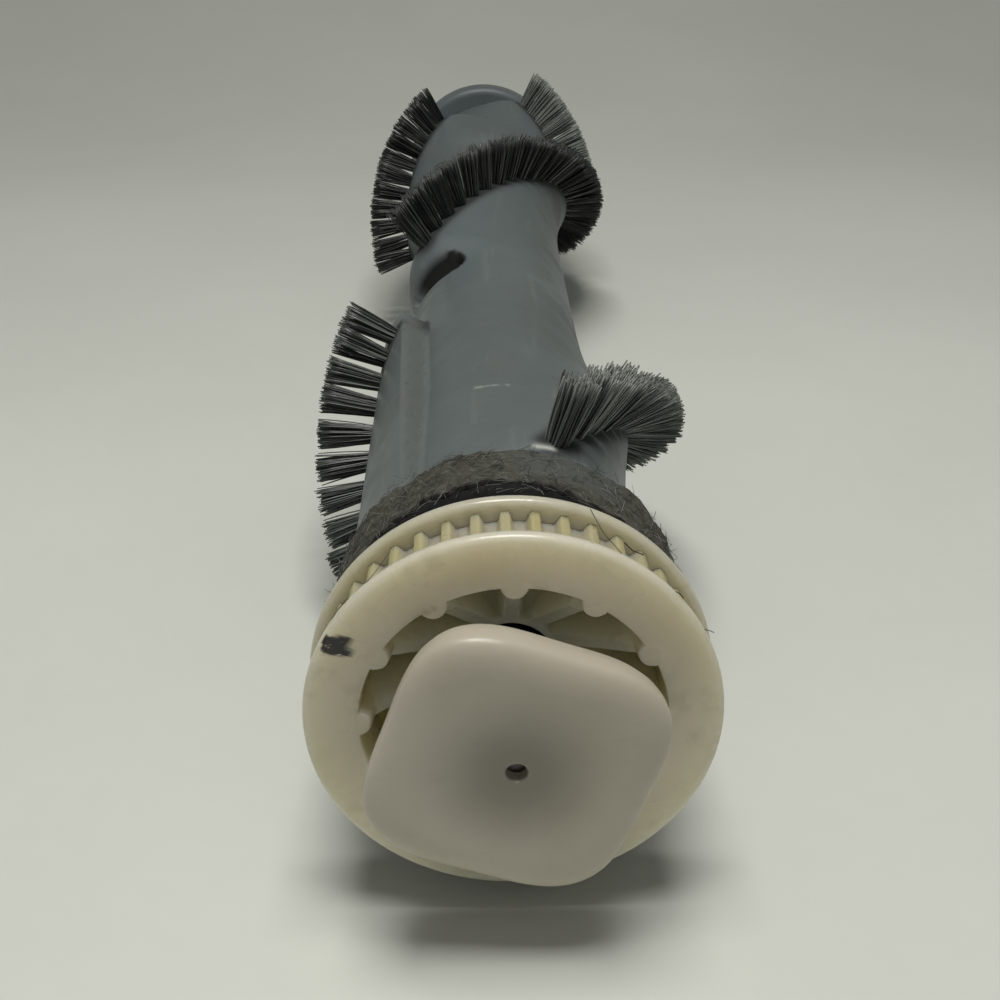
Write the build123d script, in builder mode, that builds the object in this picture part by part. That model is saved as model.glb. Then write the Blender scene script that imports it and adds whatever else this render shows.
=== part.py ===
from build123d import *
import os
from math import cos, pi, radians, sin, sqrt

# Vacuum roller brush: a grey tube with raised lands that carry rows of tufts, driven by a
# toothed-belt pulley and hung at each end in a bearing block that turns freely on the axle.
# Millimetres and degrees. The axis runs along +Y from the drive end to the far end, and
# angles about it go from +X (0) to +Z (90). The roller lies on the XY plane on the tufts
# that its weight presses flat.

os.makedirs("parts", exist_ok=True)

# Overall
overall_length = 266.0  # over the outer faces of the two end blocks

# Toothed-belt pulley
flange_rise = 1.13  # flanges above the tooth tips
flange_thickness = 1.6
flange_edge = 0.7  # rounding of the flange rims
belt_teeth = 42
belt_pitch = 3.0
belt_track = 5.7  # clear width between the flanges
pitch_line_lift = 0.38  # belt pitch line above the tooth tips
tooth_height = 1.1
tooth_tip = 1.0
tooth_root = 1.5
tooth_turn = 92.2
cavity_depth = 12.0
web_thickness = 2.0
hub_bore_radius = 3.9
hub_wall = 1.5
hub_height = 1.1  # hub ring in front of the web
rib_count = 12
rib_thickness = 1.3
rib_drop = 1.1  # outer end of a rib below the flange face
lobe_radius = 1.75
lobe_depth = 1.3  # how far a lobe stands into the cavity
spigot_step = 1.97  # spigot below the roots of the teeth
cavity_wall = 1.45  # spigot round the pockets
spigot_wall = 2.2  # spigot behind the web
spigot_depth = 7.8  # inside the roller body

# Roller body
core_radius = 13.9
tube_wall = 3.3
collar_wall = 2.0  # collar round the pulley's spigot
collar_width = 9.2
collar_edge = 1.5
neck_gap = 4.6  # between the pulley and the collar
flare_rise = 2.0  # the core swells by this much next to the collar
flare_length = 39.0
end_wall = 3.7
dog_count = 4
dog_width = 2.8
dog_height = 2.8
land_height = 4.15
land_width = 6.6  # along the top of a land
land_base = 18.0  # where its slopes meet the core
land_end_radius = 2.9
land_end_drop = 0.2
pad_length = 74.0
pad_from = 134.0
pad_to = 266.0
pad_corner = 6.5
slot_length = 13.0
slot_width = 5.5
slot_depth = 2.4
slot_angle = 138.0
slot_distance = 89.5  # from the collar
cap_width = 6.5
cap_edge = 1.8
cap_plug_length = 11.0

# Tufts
row_turn_length = 208.0  # one turn of a row along the axis
tuft_step = 4.2  # along the axis
tuft_root_radius = 1.5
tuft_tip_radius = 2.3
tuft_hole_depth = 3.7
tuft_length = 7.95  # above the lands
tuft_press = 2.05  # the roller's weight presses the lowest tufts by this much
left_front_start = 4.9  # from the collar
left_front_length = 59.7
left_front_angle = 252.0
right_front_start = 6.4
right_front_length = 101.7
right_front_angle = 71.6
right_rear_end = 4.6  # from the far cap
right_rear_length = 117.8
right_rear_angle = 130.0
left_rear_end = 19.9
left_rear_length = 42.1
left_rear_angle = 200.0
right_end_end = 4.0
right_end_length = 29.5
right_end_lead = 28.865  # this short row starts this far round from the row beside it

# End blocks
block_width = 26.0
block_corner = 6.5
block_depth = 7.8
block_edge = 2.4
block_back_edge = 2.8
block_gap = 0.6  # to the pulley and to the far cap
dish_radius = 8.3
dish_depth = 0.55
vent_radius = 1.2
drive_block_turn = -17.0
far_block_turn = 0.0

# Axle, bearings and clips
axle_radius = 3.0
journal_radius = 2.5
bearing_radius = 6.5
bearing_width = 4.0
bearing_recess = 0.3  # bearing below the back of its block
ball_count = 8
ball_radius = 1.0
ball_play = 0.05
ring_land = 0.75  # half the opening between the two rings
cage_wall = 0.6
cage_width = 2.7
cage_play = 0.06
shield_thickness = 0.25
shield_recess = 0.1
shield_gap = 0.2  # to the inner ring
clip_radius = 4.0
clip_thickness = 0.6
clip_seat_radius = 2.1
clip_opening = 2.4
clip_play = 0.6  # round the clip inside the block
axle_margin = 0.7  # axle beyond its clip
axle_float = 0.3  # axle end to the block

# Fits
press_fit = 0.01
slide_fit = 0.1
overlap = 0.3  # how far joined forms run into each other

# Heights and radii worked out from the above
land_radius = core_radius + land_height
trim_radius = land_radius + tuft_length
axis_height = trim_radius - tuft_press
tooth_tip_radius = belt_teeth * belt_pitch / (2 * pi) - pitch_line_lift
flange_radius = tooth_tip_radius + flange_rise
rim_radius = tooth_tip_radius - tooth_height
spigot_radius = rim_radius - spigot_step
cavity_radius = spigot_radius - cavity_wall
hub_radius = hub_bore_radius + hub_wall
socket_radius = spigot_radius + slide_fit
collar_radius = socket_radius + collar_wall
tube_bore_radius = core_radius - tube_wall
ball_circle = (journal_radius + bearing_radius) / 2
groove_radius = ball_radius + ball_play
inner_ring_radius = ball_circle - ring_land
outer_ring_bore = ball_circle + ring_land
land_foot = core_radius - tuft_hole_depth / 2
land_skirt = sqrt(core_radius**2 - (land_base / 2) ** 2) - overlap
tuft_foot = land_radius - tuft_hole_depth

# Places along the axis
drive_face = -overall_length / 2
far_face = overall_length / 2
pulley_front = drive_face + block_depth + block_gap
rim_front = pulley_front + flange_thickness
rim_rear = rim_front + belt_track
pulley_rear = rim_rear + flange_thickness
web_front = pulley_front + cavity_depth
web_rear = web_front + web_thickness
collar_front = pulley_rear + neck_gap
collar_rear = collar_front + collar_width
spigot_end = collar_front + spigot_depth
wall_rear = spigot_end + end_wall
cap_outer = far_face - block_depth - block_gap
cap_inner = cap_outer - cap_width
pad_end = collar_rear + pad_length

# Distances inward from the outer face of either block
bearing_back = block_depth - bearing_recess
bearing_front = bearing_back - bearing_width
clip_front = bearing_front - clip_thickness
axle_end = clip_front - axle_margin
recess_end = axle_end - axle_float

roller_axis = Axis((0, 0, axis_height), (0, 1, 0))
axis_plane = Plane((0, 0, axis_height), x_dir=(0, 1, 0), z_dir=(1, 0, 0))


def station(y):
    """Plane across the axis at y, with its own x to +X and its own y to +Z."""
    return Plane((0, y, axis_height), x_dir=(1, 0, 0), z_dir=(0, -1, 0))


def radial_plane(y, angle, radius):
    """Plane square to the radius at an angle about the axis, facing outward."""
    outward = Vector(cos(radians(angle)), 0, sin(radians(angle)))
    return Plane(Vector(0, y, axis_height) + outward * radius, x_dir=(0, 1, 0), z_dir=outward)


def rib_plane(angle):
    """Plane through the axis, with its own x along the axis and its own y outward."""
    return Plane(
        (0, pulley_front, axis_height),
        x_dir=(0, 1, 0),
        z_dir=(sin(radians(angle)), 0, -cos(radians(angle))),
    )


def tuft_places(first, length, angle, hand=-1):
    """Places of a row's tufts, each a distance along the axis and an angle about it."""
    count = int(length / tuft_step) + 1
    turn = hand * 360 * tuft_step / row_turn_length
    return [(first + i * tuft_step, angle + i * turn) for i in range(count)]


def turned(points):
    """Solid of revolution about the roller's axis from (along, radius) points."""
    with BuildPart() as solid:
        with BuildSketch(axis_plane):
            with BuildLine():
                Polyline(*points, close=True)
            make_face()
        revolve(axis=roller_axis)
    return solid


def finish(solid, name):
    """Label a finished piece and write it."""
    solid.part.label = name
    export_step(solid.part, f"parts/{name}.step")


right_rear_first = cap_inner - right_rear_end - right_rear_length
right_end_first = cap_inner - right_end_end - right_end_length
beside_angle = right_rear_angle - 360 * (right_end_first - right_rear_first) / row_turn_length
rows = {
    "left_front_tufts": tuft_places(
        collar_rear + left_front_start, left_front_length, left_front_angle
    ),
    "right_front_tufts": tuft_places(
        collar_rear + right_front_start, right_front_length, right_front_angle
    ),
    "right_rear_tufts": tuft_places(right_rear_first, right_rear_length, right_rear_angle),
    "left_rear_tufts": tuft_places(
        cap_inner - left_rear_end - left_rear_length, left_rear_length, left_rear_angle
    ),
    "right_end_tufts": tuft_places(
        right_end_first, right_end_length, beside_angle + right_end_lead, 1
    ),
}
landed_rows = ["right_front_tufts", "right_rear_tufts", "left_rear_tufts", "right_end_tufts"]

# Drive pulley: front flange, toothed rim, pocketed web, hub and the spigot that drives the body
with BuildPart() as drive_pulley:
    with BuildSketch(axis_plane):
        with BuildLine():
            Polyline(
                (pulley_front, cavity_radius),
                (pulley_front, flange_radius),
                (rim_front, flange_radius),
                (rim_front, rim_radius),
                (rim_rear, rim_radius),
                (rim_rear, spigot_radius),
                (spigot_end, spigot_radius),
                (spigot_end, spigot_radius - spigot_wall),
                (web_rear, spigot_radius - spigot_wall),
                (web_rear, hub_bore_radius),
                (web_front - hub_height, hub_bore_radius),
                (web_front - hub_height, hub_radius),
                (web_front, hub_radius),
                (web_front, cavity_radius),
                close=True,
            )
        make_face()
    revolve(axis=roller_axis)
    fillet(drive_pulley.edges().filter_by(GeomType.CIRCLE).group_by(SortBy.RADIUS)[-1], flange_edge)
    with BuildSketch(station(rim_front)):
        with PolarLocations(rim_radius, belt_teeth, start_angle=tooth_turn):
            Polygon(
                (-overlap, -tooth_root / 2),
                (tooth_height, -tooth_tip / 2),
                (tooth_height, tooth_tip / 2),
                (-overlap, tooth_root / 2),
                align=None,
            )
    extrude(amount=-belt_track)
    with BuildSketch(station(pulley_front)):
        with PolarLocations(cavity_radius + lobe_radius - lobe_depth, rib_count, start_angle=90):
            Circle(lobe_radius)
        Circle(cavity_radius + overlap, mode=Mode.INTERSECT)
    extrude(amount=-cavity_depth - overlap)
    for rib in range(rib_count):
        with BuildSketch(rib_plane(90 + rib * 360 / rib_count)):
            with BuildLine():
                Polyline(
                    (rib_drop, cavity_radius + overlap),
                    (cavity_depth - hub_height, hub_radius - overlap),
                    (cavity_depth + overlap, hub_radius - overlap),
                    (cavity_depth + overlap, cavity_radius + overlap),
                    close=True,
                )
            make_face()
        extrude(amount=rib_thickness / 2, both=True)
    with BuildSketch(station(spigot_end)):
        with PolarLocations(spigot_radius, dog_count):
            Rectangle(4 * spigot_wall, dog_width + 2 * slide_fit)
    extrude(amount=dog_height + slide_fit, mode=Mode.SUBTRACT)
finish(drive_pulley, "drive_pulley")

# Rear flange: a ring pushed onto the pulley's spigot against the ends of the teeth
with BuildPart() as pulley_rear_flange:
    with BuildSketch(axis_plane):
        with BuildLine():
            Polyline(
                (rim_rear, spigot_radius + press_fit),
                (rim_rear, flange_radius),
                (pulley_rear, flange_radius),
                (pulley_rear, spigot_radius + press_fit),
                close=True,
            )
        make_face()
    revolve(axis=roller_axis)
    fillet(pulley_rear_flange.edges().filter_by(GeomType.CIRCLE).group_by(SortBy.RADIUS)[-1], flange_edge)
finish(pulley_rear_flange, "pulley_rear_flange")

# Raised pad on the left of the drive half, straight along its sides and round at its far end
with BuildPart() as pad:
    with BuildSketch(station(spigot_end)):
        with BuildLine():
            outer = CenterArc((0, 0), land_radius, pad_from, pad_to - pad_from)
            inner = CenterArc((0, 0), land_foot, pad_from, pad_to - pad_from)
            Line(outer @ 0, inner @ 0)
            Line(outer @ 1, inner @ 1)
        make_face()
    extrude(amount=spigot_end - pad_end)
    far_corners = pad.edges().filter_by(GeomType.LINE).filter_by(Axis.Y, reverse=True)
    fillet(far_corners.group_by(Axis.Y)[-1], pad_corner)

# Round ends of the helical lands, a little lower than the lands themselves
with BuildPart() as land_ends:
    ends = [radial_plane(*rows[row][i], land_skirt) for row in landed_rows for i in (0, -1)]
    with Locations(*ends):
        Cone(
            land_base / 2,
            land_end_radius,
            land_radius - land_skirt,
            align=(Align.CENTER, Align.CENTER, Align.MIN),
        )
    with BuildSketch(station(collar_rear)):
        Circle(land_radius - land_end_drop)
        Circle(land_foot, mode=Mode.SUBTRACT)
    extrude(amount=collar_rear - cap_inner, mode=Mode.INTERSECT)

# Helical lands under the other four rows
with BuildPart() as lands:
    for row in landed_rows:
        first, first_angle = rows[row][0]
        last, last_angle = rows[row][-1]
        with BuildSketch(station(first), mode=Mode.PRIVATE) as section:
            with PolarLocations(0, 1, start_angle=first_angle):
                Polygon(
                    (land_skirt, -land_base / 2),
                    (land_radius, -land_width / 2),
                    (land_radius, land_width / 2),
                    (land_skirt, land_base / 2),
                    align=None,
                )
            Circle(land_radius, mode=Mode.INTERSECT)
            Circle(land_foot, mode=Mode.SUBTRACT)
        add(
            Solid.extrude_linear_with_rotation(
                section.sketch.faces()[0],
                center=(0, first, axis_height),
                normal=(0, last - first, 0),
                angle=first_angle - last_angle,
            )
        )
    add(land_ends.part)

# Roller body: end collar with the pulley's socket, end wall, tube, pad, lands and tuft holes
with BuildPart() as roller_body:
    with BuildSketch(axis_plane):
        with BuildLine():
            Polyline(
                (collar_front, socket_radius),
                (collar_front, collar_radius),
                (collar_rear, collar_radius),
                (collar_rear, core_radius + flare_rise),
                (collar_rear + flare_length, core_radius),
                (cap_inner, core_radius),
                (cap_inner, tube_bore_radius),
                (wall_rear, tube_bore_radius),
                (wall_rear, axle_radius + press_fit),
                (spigot_end, axle_radius + press_fit),
                (spigot_end, socket_radius),
                close=True,
            )
        make_face()
    revolve(axis=roller_axis)
    fillet(roller_body.edges().filter_by(GeomType.CIRCLE).group_by(SortBy.RADIUS)[-1], collar_edge)
    with BuildSketch(station(spigot_end)):
        with PolarLocations(socket_radius - spigot_wall / 2, dog_count):
            Rectangle(spigot_wall + 2 * overlap, dog_width)
    extrude(amount=dog_height)
    add(pad.part)
    add(lands.part)
    with BuildSketch(radial_plane(collar_rear + slot_distance, slot_angle, core_radius - slot_depth)):
        SlotOverall(slot_length, slot_width, rotation=90)
    extrude(amount=land_radius, mode=Mode.SUBTRACT)
    holes = [radial_plane(y, angle, tuft_foot) for row in rows.values() for y, angle in row]
    with Locations(*holes):
        Cylinder(
            tuft_root_radius + slide_fit / 2,
            tuft_hole_depth + overlap,
            align=(Align.CENTER, Align.CENTER, Align.MIN),
            mode=Mode.SUBTRACT,
        )
finish(roller_body, "roller_body")

# Rows of tufts: each tuft stands in its own hole and spreads towards its trimmed end
for name, places in rows.items():
    with BuildPart() as tufts:
        with Locations(*[radial_plane(y, angle, tuft_foot) for y, angle in places]):
            Cylinder(
                tuft_root_radius,
                tuft_hole_depth,
                align=(Align.CENTER, Align.CENTER, Align.MIN),
            )
        with Locations(*[radial_plane(y, angle, land_radius) for y, angle in places]):
            Cone(
                tuft_root_radius,
                tuft_tip_radius,
                trim_radius - land_radius,
                align=(Align.CENTER, Align.CENTER, Align.MIN),
            )
        split(bisect_by=Plane.XY, keep=Keep.TOP)
    finish(tufts, name)

# Far end cap: a flange the size of the collar with a plug pushed into the tube
with BuildPart() as far_end_cap:
    with BuildSketch(axis_plane):
        with BuildLine():
            Polyline(
                (cap_inner, tube_bore_radius - press_fit),
                (cap_inner, collar_radius),
                (cap_outer, collar_radius),
                (cap_outer, axle_radius + press_fit),
                (cap_inner - cap_plug_length, axle_radius + press_fit),
                (cap_inner - cap_plug_length, tube_bore_radius - press_fit),
                close=True,
            )
        make_face()
    revolve(axis=roller_axis)
    fillet(far_end_cap.edges().filter_by(GeomType.CIRCLE).group_by(SortBy.RADIUS)[-1], cap_edge)
finish(far_end_cap, "far_end_cap")

# Axle: a rod with a journal, a clip groove and a shoulder at each end
axle = turned(
    [
        (drive_face + axle_end, 0),
        (drive_face + axle_end, journal_radius),
        (drive_face + clip_front, journal_radius),
        (drive_face + clip_front, clip_seat_radius - press_fit),
        (drive_face + bearing_front, clip_seat_radius - press_fit),
        (drive_face + bearing_front, journal_radius),
        (drive_face + bearing_back, journal_radius),
        (drive_face + bearing_back, axle_radius),
        (far_face - bearing_back, axle_radius),
        (far_face - bearing_back, journal_radius),
        (far_face - bearing_front, journal_radius),
        (far_face - bearing_front, clip_seat_radius - press_fit),
        (far_face - clip_front, clip_seat_radius - press_fit),
        (far_face - clip_front, journal_radius),
        (far_face - axle_end, journal_radius),
        (far_face - axle_end, 0),
    ]
)
finish(axle, "axle")

# Each end of the axle: block, bearing and clip. Inward is +1 at the drive end, -1 at the far end
for end, face, inward, turn in (
    ("drive", drive_face, 1, drive_block_turn),
    ("far", far_face, -1, far_block_turn),
):
    bearing_middle = face + inward * (bearing_front + bearing_back) / 2
    ring_front = face + inward * bearing_front
    ring_back = face + inward * bearing_back

    # Bearing block: rounded square, dished face, soft edges, blind pocket for the bearing
    with BuildPart() as end_block:
        with BuildSketch(station(face)):
            RectangleRounded(block_width, block_width, block_corner, rotation=turn)
        extrude(amount=-inward * block_depth)
        sides = end_block.faces().sort_by(Axis.Y)
        outer_face, back_face = (sides[0], sides[-1]) if inward > 0 else (sides[-1], sides[0])
        fillet(outer_face.edges(), block_edge)
        fillet(back_face.edges(), block_back_edge)
        with BuildSketch(axis_plane):
            with BuildLine():
                dish = ThreePointArc(
                    (face + inward * dish_depth, 0),
                    (face + inward * dish_depth * 0.75, dish_radius / 2),
                    (face, dish_radius),
                )
                Line(dish @ 1, (face - inward * overlap, dish_radius))
                Line((face - inward * overlap, dish_radius), (face - inward * overlap, 0))
                Line((face - inward * overlap, 0), dish @ 0)
            make_face()
        revolve(axis=roller_axis, mode=Mode.SUBTRACT)
        with BuildSketch(axis_plane):
            with BuildLine():
                Polyline(
                    (face, 0),
                    (face, vent_radius),
                    (face + inward * recess_end, vent_radius),
                    (face + inward * recess_end, clip_radius + clip_play),
                    (ring_front, clip_radius + clip_play),
                    (ring_front, bearing_radius + press_fit),
                    (face + inward * block_depth, bearing_radius + press_fit),
                    (face + inward * block_depth, 0),
                    close=True,
                )
            make_face()
        revolve(axis=roller_axis, mode=Mode.SUBTRACT)
    finish(end_block, f"{end}_end_block")

    # Bearing rings, each with a groove for the balls
    for ring, small, large in (
        ("outer", outer_ring_bore, bearing_radius),
        ("inner", journal_radius + press_fit, inner_ring_radius),
    ):
        with BuildPart() as bearing_ring:
            with BuildSketch(axis_plane):
                with Locations((bearing_middle, (small + large) / 2)):
                    Rectangle(bearing_width, large - small)
                with Locations((bearing_middle, ball_circle)):
                    Circle(groove_radius, mode=Mode.SUBTRACT)
            revolve(axis=roller_axis)
        finish(bearing_ring, f"{end}_bearing_{ring}_ring")

    # Balls, and the cage that spaces them
    with BuildPart() as balls:
        with Locations(station(bearing_middle)):
            with PolarLocations(ball_circle, ball_count):
                Sphere(ball_radius)
    finish(balls, f"{end}_bearing_balls")
    with BuildPart() as cage:
        with BuildSketch(axis_plane):
            with Locations((bearing_middle, ball_circle)):
                Rectangle(cage_width, cage_wall)
        revolve(axis=roller_axis)
        with Locations(station(bearing_middle)):
            with PolarLocations(ball_circle, ball_count):
                Cylinder(
                    ball_radius + cage_play,
                    2 * ball_radius,
                    rotation=(0, 90, 0),
                    mode=Mode.SUBTRACT,
                )
    finish(cage, f"{end}_bearing_cage")

    # Shields: a thin disc on each side, held by the outer ring
    with BuildPart() as shields:
        for side in (-1, 1):
            disc_offset = bearing_width / 2 - shield_recess - shield_thickness / 2
            disc_inner = inner_ring_radius + shield_gap
            disc_outer = outer_ring_bore - press_fit
            with BuildSketch(axis_plane):
                with Locations((bearing_middle + side * disc_offset, (disc_inner + disc_outer) / 2)):
                    Rectangle(shield_thickness, disc_outer - disc_inner)
            revolve(axis=roller_axis)
    finish(shields, f"{end}_bearing_shields")

    # Retaining clip: an open ring in the axle's groove
    with BuildPart() as clip:
        with BuildSketch(station(ring_front)):
            Circle(clip_radius)
            Circle(clip_seat_radius, mode=Mode.SUBTRACT)
            with Locations((0, clip_radius)):
                Rectangle(clip_opening, 2 * clip_radius, mode=Mode.SUBTRACT)
        extrude(amount=inward * clip_thickness)
    finish(clip, f"{end}_axle_clip")
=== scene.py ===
import math
from typing import NamedTuple

import bpy
import numpy as np
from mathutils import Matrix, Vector

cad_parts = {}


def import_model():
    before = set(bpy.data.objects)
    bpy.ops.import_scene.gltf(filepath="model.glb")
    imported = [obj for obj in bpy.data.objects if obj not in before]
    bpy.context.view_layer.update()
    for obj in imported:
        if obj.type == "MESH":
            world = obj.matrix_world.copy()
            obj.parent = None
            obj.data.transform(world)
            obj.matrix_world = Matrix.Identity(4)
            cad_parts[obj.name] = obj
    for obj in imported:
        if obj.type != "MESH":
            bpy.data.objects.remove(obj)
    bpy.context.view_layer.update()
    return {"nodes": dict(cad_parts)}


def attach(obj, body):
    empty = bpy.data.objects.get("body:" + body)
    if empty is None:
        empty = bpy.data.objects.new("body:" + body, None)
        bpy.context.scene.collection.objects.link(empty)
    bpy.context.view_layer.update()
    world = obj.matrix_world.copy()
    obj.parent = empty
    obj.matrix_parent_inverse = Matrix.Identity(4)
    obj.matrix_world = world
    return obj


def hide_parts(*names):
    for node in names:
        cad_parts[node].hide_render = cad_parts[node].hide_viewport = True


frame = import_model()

# Lengths about the roller: yp runs back from the pulley's front face, angles go from right (0)
# to up (90) and radii are from the axis. UNIT brings them to millimetres.
MM = 0.001
UNIT = 0.9245
AXIS_Z = 23.95
FRONT_Y = -124.6

FLANGE_R = 22.5
FLANGE_EDGE = 0.76
FLANGE_BACK = 1.73
TIP_R = 21.28
RIM_R = 20.09
CAVITY_R = 16.4
SPIGOT_R = 17.96
HUB_R = 5.84
HUB_BORE_R = 4.22
HUB_MOUTH_R = 5.05
COLLAR_R = 20.23
CORE_R = 15.04
LAND_R = 19.52
TRIM_R = 28.12
TRACK_END = 7.9
PULLEY_REAR = 9.63
WEB_FRONT = 12.98
WEB_REAR = 15.14
SPIGOT_END = 23.04
COLLAR_FRONT = 14.6
COLLAR_REAR = 24.55
BODY_END = 262.5
FAR_FRONT = 269.56  # stands to the far block as 0 stands to the drive block
PITCH_DEG = 1.6  # turn of a tuft row for each unit along the axis
TUFT_STEP = 4.543
TUFT_R = 1.45
BRISTLE_R = 0.13

# Pulley: its teeth, and the ribs and rounded outer ends of the pockets in its face
TEETH = 42
TOOTH_ANGLE = 92.2  # of one tooth
RIB_ANGLE = 90.0  # of one rib
RIB_STEP = 30.0
RIB_HALF = 0.95
LOBE_PLACE_R = 16.75
LOBE_R = 1.6
HUB_FACE = 11.8

# Pad round the left front row: the angles of its sides, of which the near one slants, and its end
PAD_NEAR = 128.0
PAD_SLANT = 0.16
PAD_FAR = 266.0
PAD_END = 104.6
PAD_CORNER_R = 7.0
LAND_SPREAD = 10.5  # how far a land slopes down on each side of its row
LAND_RUNOUT = 5.5  # and past its ends

CORE_SWELL = 2.2  # how much thicker the core is behind the collar than from SWELL_END on
SWELL_END = 66.6

# Slot across the core, past the pad's end
SLOT_ANGLE = 138.0
SLOT_YP = 121.6
SLOT_HALF = 4.0
SLOT_DEPTH = 3.2

HASH_X, HASH_Y, HASH_Z = 374761393, 668265263, 1440662683
HASH_SEED, HASH_MIX = 982451653, 1274126177

rng = np.random.default_rng(7)


def ramp(x, low, high):
    """Smooth step from 0 at low to 1 at high."""
    t = np.clip((np.asarray(x, float) - low) / (high - low), 0.0, 1.0)
    return t * t * (3.0 - 2.0 * t)


def noise(p, scale, seed=0):
    """Repeatable smooth noise from 0 to 1 at points p (n, 3), with cells of that size."""
    q = np.asarray(p, float) / scale + 512.0
    cell = np.floor(q).astype(np.int64)
    f = q - cell
    f = f * f * (3.0 - 2.0 * f)
    total = np.zeros(len(q))
    for dx in (0, 1):
        for dy in (0, 1):
            for dz in (0, 1):
                h = (cell[:, 0] + dx) * HASH_X + (cell[:, 1] + dy) * HASH_Y
                h = (h + (cell[:, 2] + dz) * HASH_Z + seed * HASH_SEED) & 0xFFFFFFFF
                h = ((h ^ (h >> 13)) * HASH_MIX) & 0xFFFFFFFF
                value = ((h ^ (h >> 16)) & 0xFFFF) / 65535.0
                weight = np.where(dx, f[:, 0], 1 - f[:, 0]) * np.where(dy, f[:, 1], 1 - f[:, 1])
                total += value * weight * np.where(dz, f[:, 2], 1 - f[:, 2])
    return total


def cloudy(p, scale, seed=0, octaves=3):
    """Noise in several sizes, from 0 to 1."""
    total, share, size = 0.0, 0.5, scale
    for i in range(octaves):
        total = total + share * noise(p, size, seed + 31 * i)
        share, size = share / 2, size / 2.1
    return total / (1 - 0.5 ** octaves)


def polar(r, angle, yp):
    """Points (x, yp, z), with z from the axis, from radius, angle in degrees and yp."""
    a = np.radians(angle)
    r, a, yp = np.broadcast_arrays(r, a, yp)
    return np.stack([r * np.cos(a), yp, r * np.sin(a)], axis=-1)


def from_nearest(angle, first, step):
    """Degrees to the nearest of the places that start at first and come every step."""
    return np.abs((angle - first + step / 2) % step - step / 2)


def arc(turn, r):
    """Length of a turn in degrees at radius r, taken the short way round."""
    return ((turn + 180.0) % 360.0 - 180.0) * math.pi / 180 * r


def world(p):
    """Metres in the shared frame from (x, yp, z)."""
    p = np.asarray(p, float).reshape(-1, 3)
    return (p * UNIT + np.array([0.0, FRONT_Y, AXIS_Z])) * MM


def wrap_faces(rows, cols, start=0):
    """Quads of a grid of rows by cols whose columns close on themselves."""
    i, j = np.meshgrid(np.arange(rows - 1), np.arange(cols), indexing="ij")
    k = (j + 1) % cols
    quads = np.stack([i * cols + j, i * cols + k, (i + 1) * cols + k, (i + 1) * cols + j], axis=-1)
    return quads.reshape(-1, 4) + start


def piece(name, points, quads, mat, body, nodes=(), marks=None):
    """A smooth mesh that rides on a body, with float marks for its material."""
    mesh = bpy.data.meshes.new(name)
    co = world(points).astype(np.float32)
    quads = np.asarray(quads, np.int32)
    mesh.vertices.add(len(co))
    mesh.vertices.foreach_set("co", co.ravel())
    mesh.loops.add(quads.size)
    mesh.loops.foreach_set("vertex_index", quads.ravel())
    mesh.polygons.add(len(quads))
    mesh.polygons.foreach_set("loop_start", np.arange(0, quads.size, 4, dtype=np.int32))
    mesh.polygons.foreach_set("use_smooth", np.ones(len(quads), bool))
    for key, values in (marks or {}).items():
        layer = mesh.attributes.new(key, "FLOAT", "POINT")
        layer.data.foreach_set("value", np.asarray(values, np.float32).ravel())
    mesh.update(calc_edges=True)
    mesh.validate()
    mesh.materials.append(mat)
    obj = bpy.data.objects.new(name, mesh)
    bpy.context.scene.collection.objects.link(obj)
    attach(obj, body)
    if nodes:
        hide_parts(*nodes)


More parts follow.
